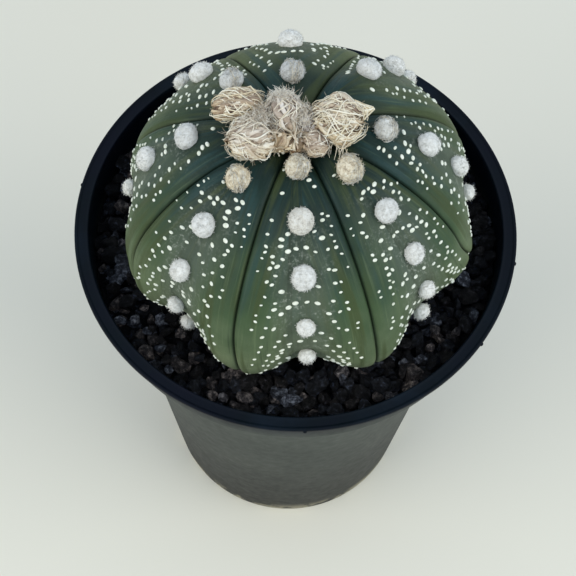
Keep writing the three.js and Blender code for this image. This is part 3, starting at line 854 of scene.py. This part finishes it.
def pad_hairs(random, size, count, length):
    """Short hairs that stand out all over a pad, to a little under its middle."""
    aim = unit(scatter(random, count))
    aim[:, 2] = np.abs(aim[:, 2]) - HAIR_DROOP
    aim = unit(aim)
    roots = aim * size * HAIR_ROOT_DEPTH
    sway = unit(aim + HAIR_SWAY * scatter(random, count))
    tips = roots + sway * random.uniform(*HAIR_LENGTHS, (count, 1)) * length
    return strands(random, roots, tips, HAIR_BEND, HAIR_RADII, steps=2)


def make_wool(material):
    random = np.random.default_rng(29)
    pads = Shape()
    hairs = Shape()
    ball_points, ball_faces = ball(40, 26)
    from_top = ball_points[:, 0] ** 2 + ball_points[:, 1] ** 2
    hollow = np.exp(-from_top / DIMPLE_SPREAD) * (ball_points[:, 2] > 0)
    for _, line, angle, radius in areoles():
        normal = skin_axes(line, angle)[1]
        low = below_top(LOW_SIDE_TOP, angle)
        lift = WOOL_LIFT + LOW_WOOL_LIFT * below_top(BASE_ZONE_TOP, angle)
        centre = skin_point(line, angle, furrowed=False) + normal * lift
        axes = np.stack([*side_axes(normal), normal])
        tan, dull = wool_looks(line, angle, random)
        lumps = 1 + sum(
            height * value_noise(ball_points + shift, lump, seed)
            for (height, lump, seed), shift in zip(WOOL_LUMPS, (angle, line))
        )
        width = random.uniform(0.95, 1.07) * (1 - LOW_WOOL_NARROWING * low)
        size = radius * np.array([width, random.uniform(0.97, 1.1), WOOL_FLATNESS])
        points = ball_points * lumps[:, None] * size * PAD_SHARE
        points[:, 2] -= hollow * radius * random.uniform(0, 0.2)
        pads.add(points @ axes + centre, ball_faces, tan=tan, dull=dull)
        count = int(HAIRS_PER_PAD * (radius / WOOL_RADIUS) ** 2)
        points, faces = pad_hairs(random, size, count, 0.75 + 0.35 * tan + 0.12 * low)
        hairs.add(points @ axes + centre, faces, tan=tan, dull=dull)
        if angle > SHAGGY_ANGLE:
            path, radii = wound(random, SHAGGY_STRANDS, **SHAGGY_WINDING)
            points, faces = swept(path * size, radii, 3)
            tans = random.uniform(0.0, 0.8, SHAGGY_STRANDS)
            # The loose hairs get a fixed share of painted shade
            hairs.add(points @ axes + centre, faces, tan=tans, dull=0.4)
    finish_piece(pads.build("areole_wool", material), "cactus")
    finish_piece(hairs.build("areole_hairs", material), "cactus")


# Flecks: arches of tiny wool dots that wrap round each areole and run down to the furrows
ARCH = (
    (0, -5.7), (2.6, -5.4), (4.6, -3.7), (5.6, -1.4), (6.4, 0.8), (7.8, 3.6), (9.4, 7.6), (10.6, 12.5)
)
SKIRT = ((2.7, 2.0), (4.6, 3.0), (6.0, 5.2), (6.9, 7.8), (7.6, 10.6), (8.4, 14.0))
FLECK_SPACING = 2.15
LAST_FLECK_ANGLE = -26
TYPICAL_HALF_RIB = 13.0
KEPT_SHARE = 0.86
PAIR_SHARE = 0.2
PAIR_STEP = 1.2
LEAST_FLECK_GAP = 1.05
LEAST_FURROW_GAP = 0.9
LEAST_FLAT_RADIUS = 4
BARE_CROWN_ANGLE = 58
BARE_CROWN_SHARE = 0.72
FOOT_FLECKS = 24
FOOT_FLECK_DEPTHS = (3.5, 12.0)
# One dot: half length, share of that as half width, height, lift, tilt and jitter of its place
FLECK_LENGTHS = (0.4, 0.68)
FLECK_WIDTH_SHARES = (0.55, 0.8)
FLECK_HEIGHT = 0.24
FLECK_LIFT = 0.05
FLECK_TILT_DEGREES = 20
LEVEL_JITTER_DEGREES = 0.18
SIDE_JITTER = 0.14


def arch_dots(points, random):
    """Places along an arch, as (sideways, down) in millimetres from the areole."""
    points = np.array(points, float)
    length = np.append(0, np.cumsum(np.linalg.norm(np.diff(points, axis=0), axis=1)))
    places = []
    at = random.uniform(0.3, FLECK_SPACING)
    while at < length[-1]:
        places.append([np.interp(at, length, points[:, k]) for k in (0, 1)])
        at += FLECK_SPACING * random.uniform(0.75, 1.4)
    return places


def make_flecks(material):
    random = np.random.default_rng(41)
    shape = Shape()
    placed = []
    for number, line, angle, _ in areoles():
        for points, sign in itertools.product((ARCH, SKIRT), (-1, 1)):
            for side, down in arch_dots(points, random):
                for step in (0, PAIR_STEP) if random.random() < PAIR_SHARE else (0,):
                    if random.random() < KEPT_SHARE:
                        place_fleck(shape, placed, number, angle, side * sign, down + step, random)
    for number in range(len(RIBS)):
        for _ in range(FOOT_FLECKS):
            side = random.uniform(-TYPICAL_HALF_RIB, TYPICAL_HALF_RIB)
            down = random.uniform(*FOOT_FLECK_DEPTHS)
            place_fleck(shape, placed, number, 0.0, side, down, random)
    finish_piece(shape.build("skin_flecks", material), "cactus")


def place_fleck(shape, placed, number, angle, side, down, random):
    """One woolly dot. Dots near a furrow are smaller, none crosses it, and none touches another."""
    line = LINES[number]
    level = angle - degrees(down / TYPICAL_RADIUS) + random.normal() * LEVEL_JITTER_DEGREES
    if level < LAST_FLECK_ANGLE or (level > BARE_CROWN_ANGLE and random.random() < BARE_CROWN_SHARE):
        return
    flat_radius = flat_radius_at(level)
    half = radians(line - FURROWS[number] if side < 0 else ENDS[number] - line) * flat_radius
    sideways = side * (0.3 + 0.7 * half / TYPICAL_HALF_RIB) + random.normal() * SIDE_JITTER
    if abs(sideways) > half - LEAST_FURROW_GAP:
        return
    azimuth = line + degrees(sideways / max(flat_radius, LEAST_FLAT_RADIUS))
    inward = 1 - abs(sideways) / half
    length = random.uniform(*FLECK_LENGTHS) * (0.5 + 0.55 * min(1.0, inward * 1.5))
    width = length * random.uniform(*FLECK_WIDTH_SHARES)
    centre = swollen_point(np.array([azimuth]), np.array([level]))[0]
    if nearest(placed, centre) < LEAST_FLECK_GAP:
        return
    placed.append(centre)
    up, normal = skin_axes(azimuth, level)
    tilt = radians(random.normal() * FLECK_TILT_DEGREES)
    first = np.cross(up, normal) * cos(tilt) + up * sin(tilt)
    axes = np.stack([first * length, np.cross(normal, first) * width, normal * FLECK_HEIGHT])
    dome, faces = ball(10, 6)
    shape.add(dome @ axes + centre + normal * FLECK_LIFT, faces)


# Dried flowers
CROWN_MEETING = np.array([-0.6, -0.8, POT_HEIGHT + 36.6])
# Each knob: centre over the rim's plane, half sizes, turn and lean in radians, the way its petals
# run (from the crown outward, in the knob's own axes), how grey, how pale, how stringy
KNOBS = (
    ((-12.4, 4.0, 38.4), (5.2, 3.5, 3.4), 0.2, 0.3, (-1.0, 0.05, -0.1), 0.1, 0.56, 0.8),
    ((-9.8, -4.4, 39.0), (4.7, 4.1, 4.0), -0.2, -0.4, (-0.95, -0.5, 0.1), 0.25, 0.62, 0.8),
    ((-3.1, 2.2, 39.1), (4.1, 4.8, 4.1), 0.4, 0.2, (0.1, 0.95, 0.3), 0.4, 0.65, 0.5),
    ((7.4, 0.5, 40.3), (5.2, 4.8, 4.5), -0.2, 0.5, (1.0, 0.1, 0.05), 0.1, 0.6, 1.0),
    ((3.4, -3.7, 38.1), (2.9, 2.6, 2.4), 0.7, 0.0, (0.5, -0.85, 0.2), 0.4, 0.55, 1.0),
    ((-4.3, -3.6, 37.5), (3.2, 2.6, 2.4), 0.0, 0.0, (-0.3, -1.0, 0.0), 0.05, 0.6, 0.0),
    ((1.5, 0.5, 38.2), (2.8, 2.9, 2.6), 0.0, 0.0, (0.2, 1.0, 0.3), 0.8, 0.75, 0.3),
    ((-0.7, -4.0, 37.0), (1.7, 1.7, 1.5), 0.0, 0.0, (0.1, -1.0, 0.1), 0.1, 0.6, 0.3),
)
# Each tuft of hair between the knobs: centre over the rim's plane, half sizes, hairs, how pale
TUFTS = (
    ((-7.2, 0.8, 40.2), (2.3, 1.9, 1.8), 700, 0.7),
    ((-9.0, -2.2, 42.2), (2.5, 1.4, 0.8), 360, 0.8),
    ((-3.6, 3.8, 41.6), (2.5, 1.7, 1.5), 800, 1.15),
    ((0.7, 0.8, 40.6), (1.5, 2.3, 1.4), 420, 0.85),
)
PETALS_PER_AREA = 1.9
LEAST_PETALS = 12
PETAL_WINDING = dict(span=(0.6, 1.3), wander=0.3, layer=(0.78, 0.96), radii=(0.25, 0.75), taper=0.75)
PETAL_FLATNESS = 0.22
THREADS_PER_AREA = 1.9
THREAD_WINDING = dict(span=(0.35, 1.25), wander=0.6, layer=(0.88, 1.06), radii=(0.06, 0.17), taper=0.5)
FUZZ_PER_AREA = 4.0
FUZZ_RADII = (0.055, 0.025)
TUFT_RADII = (0.05, 0.025)
NECK_STRANDS = 36
NECK_RADII = (0.19, 0.12)
HIGH_POINT = 3.0
# The pointed end of the largest knob: its start and its end from the knob's centre, and the
# threads that hang below it
TIP_KNOB = 3
TIP_START = (3.0, 1.6, 0.0)
TIP_END = (6.6, 3.3, -0.6)
TIP_STRANDS = 60
TIP_RADII = (0.3, 0.13)
FRINGE_START = (-0.6, -4.2, -2.0)
FRINGE_DROP = (0.2, -2.4, -1.4)
FRINGE_THREADS = 14
FRINGE_RADII = (0.09, 0.05)


class Knob:
    """One withered flower: an ellipsoid with its own turn and lean, and how its petals look."""

    def __init__(self, at, size, turn, lean, run, grey, pale, stringy):
        self.centre = np.array(at) + [0, 0, POT_HEIGHT]
        self.size = np.array(size)
        self.axes = np.array(Matrix.Rotation(turn, 3, "Z") @ Matrix.Rotation(lean, 3, "X")).T
        self.area = size[0] * size[1] + size[1] * size[2] + size[0] * size[2]
        self.run, self.grey, self.pale, self.stringy = run, grey, pale, stringy

    def placed(self, points):
        """Points of a unit ball, at the knob's size and place."""
        return (points * self.size) @ self.axes + self.centre


def tones(random, count, mean, spread, least):
    return np.clip(random.normal(mean, spread, count), least, 1)


def add_core(cores, knob):
    points, faces = ball(36, 24)
    loose = min(1.0, 2 * knob.stringy)
    rough = 0.8 - 0.06 * loose + 0.12 * value_noise(points + knob.centre[0], 0.35, 12)
    # Looser knobs get a darker core: partly the flower's own brown, partly painted shade in the gaps
    # between petals
    cores.add(knob.placed(points * rough[:, None]), faces, tone=0.34 - 0.2 * loose, grey=knob.grey)


def add_petals(fibres, knob, random):
    """Flat twisted petals, greyer on top."""
    count = int(knob.area * PETALS_PER_AREA * (0.6 + 0.4 * knob.stringy)) + LEAST_PETALS
    path, radii = wound(random, count, knob.run, **PETAL_WINDING)
    points, faces = swept(knob.placed(path), radii, 6, flatness=PETAL_FLATNESS)
    # Petals are toned darker than the threads: partly their own tan, partly painted shade on the petal
    # faces
    tone = tones(random, count, knob.pale - 0.13, 0.17, 0.05)
    high = np.clip((points[:, 2] - knob.centre[2]) / HIGH_POINT, -1, 1)
    fibres.add(points, faces, tone=tone, grey=np.clip(knob.grey + 0.45 * high, 0, 1))


def add_threads(fibres, knob, random):
    count = int(knob.area * THREADS_PER_AREA * knob.stringy)
    path, radii = wound(random, count, knob.run, **THREAD_WINDING)
    # Threads are toned paler: partly their own cream, partly painted highlight standing in for lit petal
    # edges
    tone = tones(random, count, knob.pale + 0.1 + 0.16 * knob.stringy, 0.16, 0.2)
    fibres.add(*swept(knob.placed(path), radii, 4, flatness=0.7), tone=tone, grey=knob.grey)


def add_neck(fibres, knob, random):
    """Strands that run from the crown into the knob."""
    roots = CROWN_MEETING + scatter(random, NECK_STRANDS) * [1.8, 1.8, 0.9]
    tips = knob.centre + unit(scatter(random, NECK_STRANDS)) * knob.size * 0.7
    neck = strands(random, roots, tips, 1.2, NECK_RADII, 4, 6, rise=0.4)
    tone = random.uniform(0.3, 0.85, NECK_STRANDS)
    fibres.add(*neck, tone=tone, grey=0.5 * knob.grey + 0.3)


def add_fuzz(hairs, knob, random):
    """Short hairs all over the knob, more and longer on a grey one."""
    count = int(knob.area * FUZZ_PER_AREA * (0.3 + 2 * knob.grey))
    roots = unit(scatter(random, count))
    tips = roots * 1.05 + scatter(random, count) * (0.1 + 0.2 * knob.grey)
    fuzz = strands(random, knob.placed(roots * 0.93), knob.placed(tips), 0.35, FUZZ_RADII)
    tone = random.uniform(0.3, 0.95, count)
    hairs.add(*fuzz, tone=tone, grey=min(1.0, knob.grey + 0.25))


def add_tuft(hairs, random, at, size, count, pale):
    roots = np.array(at) + [0, 0, POT_HEIGHT] + unit(scatter(random, count)) * size
    tips = roots + scatter(random, count) * 0.6
    tuft = strands(random, roots, tips, 0.3, TUFT_RADII)
    hairs.add(*tuft, tone=tones(random, count, pale, 0.2, 0.1), grey=0.6)


def add_tip(fibres, knob, random):
    """The pointed end of a knob, and the threads that hang from it onto the crown."""
    roots = knob.centre + TIP_START + scatter(random, TIP_STRANDS) * [0.5, 1.1, 1.0]
    tips = knob.centre + TIP_END + scatter(random, TIP_STRANDS) * 0.22
    tip = strands(random, roots, tips, 0.3, TIP_RADII, 4, 6)
    fibres.add(*tip, tone=random.uniform(0.45, 0.9, TIP_STRANDS), grey=0.05)

    roots = knob.centre + FRINGE_START + scatter(random, FRINGE_THREADS) * [1.8, 0.5, 0.5]
    tips = roots + FRINGE_DROP + scatter(random, FRINGE_THREADS) * [1.1, 0.7, 0.3]
    fibres.add(*strands(random, roots, tips, 0.5, FRINGE_RADII, 3, 6), tone=0.8, grey=0.2)


def make_dried_flowers(material):
    random = np.random.default_rng(57)
    cores = Shape()
    fibres = Shape()
    hairs = Shape()
    knobs = [Knob(*row) for row in KNOBS]
    for knob in knobs:
        add_core(cores, knob)
        add_petals(fibres, knob, random)
        add_threads(fibres, knob, random)
        add_neck(fibres, knob, random)
        add_fuzz(hairs, knob, random)
    add_tip(fibres, knobs[TIP_KNOB], random)
    for tuft in TUFTS:
        add_tuft(hairs, random, *tuft)
    finish_piece(cores.build("flower_cores", material), "dried_flowers")
    finish_piece(fibres.build("dried_petals", material), "dried_flowers")
    finish_piece(hairs.build("flower_hairs", material), "dried_flowers")


# Grit
GRIT_RING = (33.0, 46.0)
# Each layer of chips: height over the top of the bed, spacing, number and size
GRIT_LAYERS = ((-0.9, 2.9, 460, 0.9), (0.55, 3.2, 330, 1.0))
TRIES_PER_CHIP = 14
SPACING_SHARES = (0.62, 1.0)
BED_SEGMENTS = 120
BED_DEPTH = 1.4
# The chips start at the skin at this height angle, tucked in a little
GRIT_LEVEL_ANGLE = -16.0
CHIP_TUCK = 0.4
CHIP_REACH = GRIT_RING[1] + 0.35
CHIP_RADII = (1.3, 2.8)
CHIP_CUTS = 11
CHIP_CUT_DEPTHS = (0.46, 0.8)
CHIP_STRETCHES = ((0.95, 1.3), (0.75, 1.05), (0.6, 0.9))
CHIP_ROUGHNESS = 0.09
CHIP_TURNS = (0, 6.28)
LEVEL_JITTER = 0.35
LIT_CHIP_SHARE = 0.28
LIT_TONES = (0.4, 1.0)
DARK_TONES = (0.0, 0.12)


def stone(random, radius):
    """An angular chip: a ball whose surface is cut flat on several sides, with a pitted face."""
    points, faces = ball(12, 8)
    cuts = unit(scatter(random, CHIP_CUTS))
    depths = random.uniform(*CHIP_CUT_DEPTHS, CHIP_CUTS)
    for axis, depth in zip(cuts, depths):
        over = np.clip(points @ axis - depth, 0, None)
        points = points - over[:, None] * axis
    rough = CHIP_ROUGHNESS * value_noise(points * 3 + random.uniform(0, 50), 0.5, 21)
    points = points * (1 + rough)[:, None]
    stretch = np.array([random.uniform(*ends) for ends in CHIP_STRETCHES])
    axis = Vector(unit(random.normal(size=4))[:3])
    turn = np.array(Matrix.Rotation(random.uniform(*CHIP_TURNS), 3, axis))
    return (points * stretch * radius) @ turn.T, faces


def add_bed(shape):
    """The ring of fine grit that the chips lie in."""
    inner, outer = GRIT_RING[0] - 2, GRIT_RING[1]
    low, top = GRIT_BED_TOP - 6, GRIT_BED_TOP - BED_DEPTH
    shoulder = (outer + 0.2, GRIT_BED_TOP - 3)
    bed = [(inner, low), (outer - 1.3, low), shoulder, (outer + 0.2, top), (inner, top)]
    faces = grid_faces(len(bed), BED_SEGMENTS, is_loop=True)[:, ::-1]
    shape.add(turned_rows(bed, BED_SEGMENTS), [faces], tone=0.0, tint=0.5)


def add_chip(shape, random, spot, level, size):
    """One chip on the bed, held inside the pot's wall."""
    points, faces = stone(random, random.uniform(*CHIP_RADII) * size)
    points = points + [*spot, GRIT_BED_TOP + level + random.normal() * LEVEL_JITTER]
    reach = np.hypot(points[:, 0], points[:, 1])
    points[:, :2] *= np.minimum(1, CHIP_REACH / np.maximum(reach, 1e-6))[:, None]
    is_lit = random.random() < LIT_CHIP_SHARE
    tone = random.uniform(*(LIT_TONES if is_lit else DARK_TONES))
    shape.add(points, faces, tone=tone, tint=random.random())


def make_grit(material):
    random = np.random.default_rng(83)
    shape = Shape()
    add_bed(shape)
    for level, spacing, wanted, size in GRIT_LAYERS:
        placed = []
        for _ in range(wanted * TRIES_PER_CHIP):
            away = sqrt(random.uniform(GRIT_RING[0] ** 2, (GRIT_RING[1] - 0.9) ** 2))
            azimuth = random.uniform(0, 360)
            turn = radians(azimuth)
            spot = np.array([away * sin(turn), -away * cos(turn)])
            if placed and nearest(placed, spot) < spacing * random.uniform(*SPACING_SHARES):
                continue
            if away < np.hypot(*skin_point(azimuth, GRIT_LEVEL_ANGLE)[:2]) - CHIP_TUCK:
                continue
            placed.append(spot)
            add_chip(shape, random, spot, level, size)
            if len(placed) >= wanted:
                break
    finish_piece(shape.build("grit_chips", material, is_smooth=False), "grit")


# Stage: floor, lights and camera
FLOOR_HALF_SIZE = 3000.0
# Each light: its place, its power and its colour
LIGHTS = {
    "sky_right": ((820, -330, 820), 5.8, (1.0, 0.98, 0.92)),
    "sky_left": ((-760, -420, 720), 4.9, (1.0, 0.93, 0.8)),
}
LIGHT_WIDTH = 900
LIGHT_TARGET = Vector((0, 0, 130))
SKY_COLOUR = (0.66, 0.78, 0.94, 1.0)
SKY_STRENGTH = 0.82


def make_floor(material):
    shape = Shape()
    corners = np.array([(-1, -1, 0), (1, -1, 0), (1, 1, 0), (-1, 1, 0)]) * FLOOR_HALF_SIZE
    shape.add(corners, [np.array([[0, 1, 2, 3]])])
    floor = shape.build("floor", material)


def make_lights():
    world = bpy.data.worlds.new("soft_sky")
    bpy.context.scene.world = world
    world.use_nodes = True
    sky = world.node_tree.nodes["Background"].inputs
    sky["Color"].default_value = SKY_COLOUR
    sky["Strength"].default_value = SKY_STRENGTH
    for name, (place, power, colour) in LIGHTS.items():
        data = bpy.data.lights.new(name, "AREA")
        data.shape = "DISK"
        data.size = LIGHT_WIDTH * MM
        data.energy = power
        data.color = colour
        light = add_object(name, data)
        light.location = Vector(place) * MM
        aim = LIGHT_TARGET * MM - light.location
        light.rotation_euler = aim.to_track_quat("-Z", "Y").to_euler()
    bpy.context.scene.view_settings.view_transform = "Standard"


# The photograph's view: the camera's distance from the middle of the rim's plane, its elevation,
# and how it is turned from looking straight at that point
CAMERA_DISTANCE = 260.97
ELEVATION, YAW, PITCH, ROLL = np.radians((60.926, -0.246, -3.393, 2.689))
FOCAL_PIXELS = 1150.0
PICTURE_PIXELS = 576.0
SENSOR_MM = 36.0
CLIP_RANGE = (0.01, 20)


def make_camera():
    data = bpy.data.cameras.new("camera")
    data.sensor_width = SENSOR_MM
    data.lens = FOCAL_PIXELS / PICTURE_PIXELS * SENSOR_MM
    data.clip_start, data.clip_end = CLIP_RANGE
    camera = add_object("camera", data)
    away = Vector((0, -cos(ELEVATION), sin(ELEVATION))) * CAMERA_DISTANCE
    view = Matrix.Translation((away + Vector((0, 0, POT_HEIGHT))) * MM)
    for angle, axis in ((pi / 2 - ELEVATION, "X"), (-YAW, "Y"), (PITCH, "X"), (ROLL, "Z")):
        view = view @ Matrix.Rotation(angle, 4, axis)
    camera.matrix_world = view
    bpy.context.scene.camera = camera


def main():
    make_camera()
    make_lights()
    make_floor(floor_finish())
    make_pot(pot_finish())
    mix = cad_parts["potting_mix"]
    mix.data.materials.clear()
    mix.data.materials.append(mix_finish())
    make_grit(grit_finish())
    make_skin(skin_finish())
    make_wool(wool_finish())
    make_flecks(fleck_finish())
    make_dried_flowers(petal_finish())


main()
